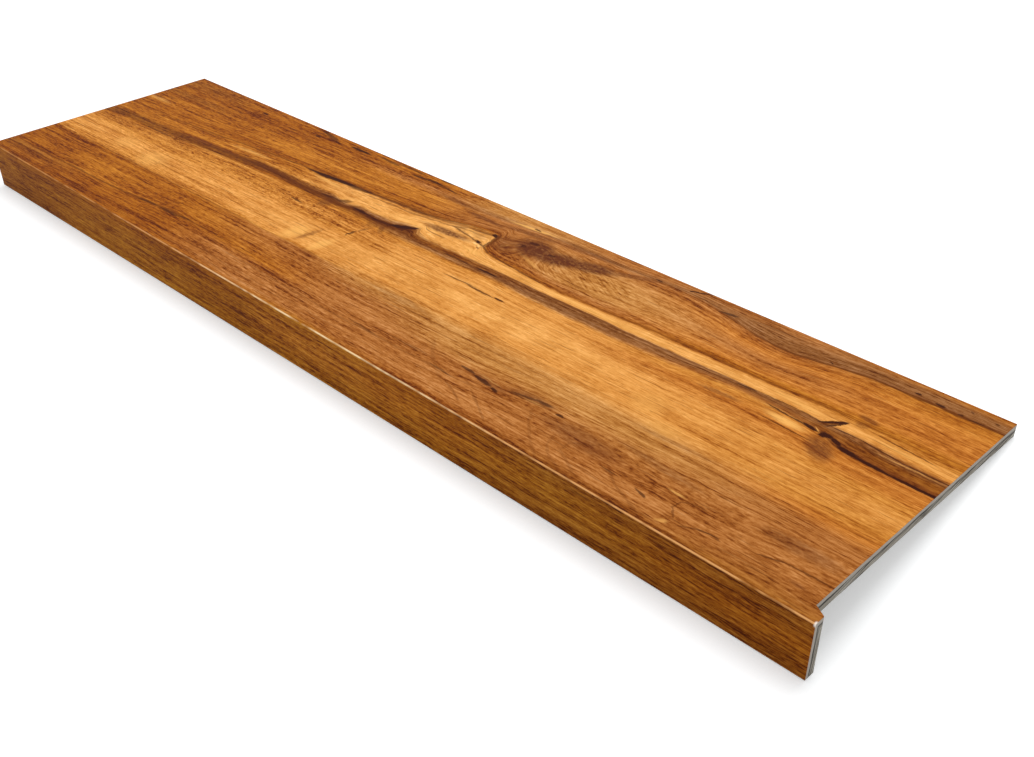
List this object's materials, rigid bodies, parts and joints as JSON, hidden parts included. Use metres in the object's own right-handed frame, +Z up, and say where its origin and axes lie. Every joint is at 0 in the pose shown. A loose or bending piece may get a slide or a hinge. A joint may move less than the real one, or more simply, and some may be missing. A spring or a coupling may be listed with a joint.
{
  "type": "stair tread",
  "caption": "Flat stair tread cover with a square nosing folded down along its front edge, wood grain face over a grey composite core, nosing lapping past the right end.",
  "frame": {"origin": "middle of the bounding box's bottom, on the floor that the tread lies on", "axes": "+X along the nosing, towards the end where the nosing laps past the board; -Y towards the nosing's front face; +Z up from the floor. The tread lies tilted about X, with its back edge down."},
  "size_m": [1.194, 0.3126, 0.0557],
  "materials": {
    "composite_core": "matte",
    "wood_grain_face": "satin"
  },
  "bodies": {
    "root": {"tread_board": "composite_core", "nosing_board": "composite_core", "wood_face": "wood_grain_face"}
  },
  "joints": []
}
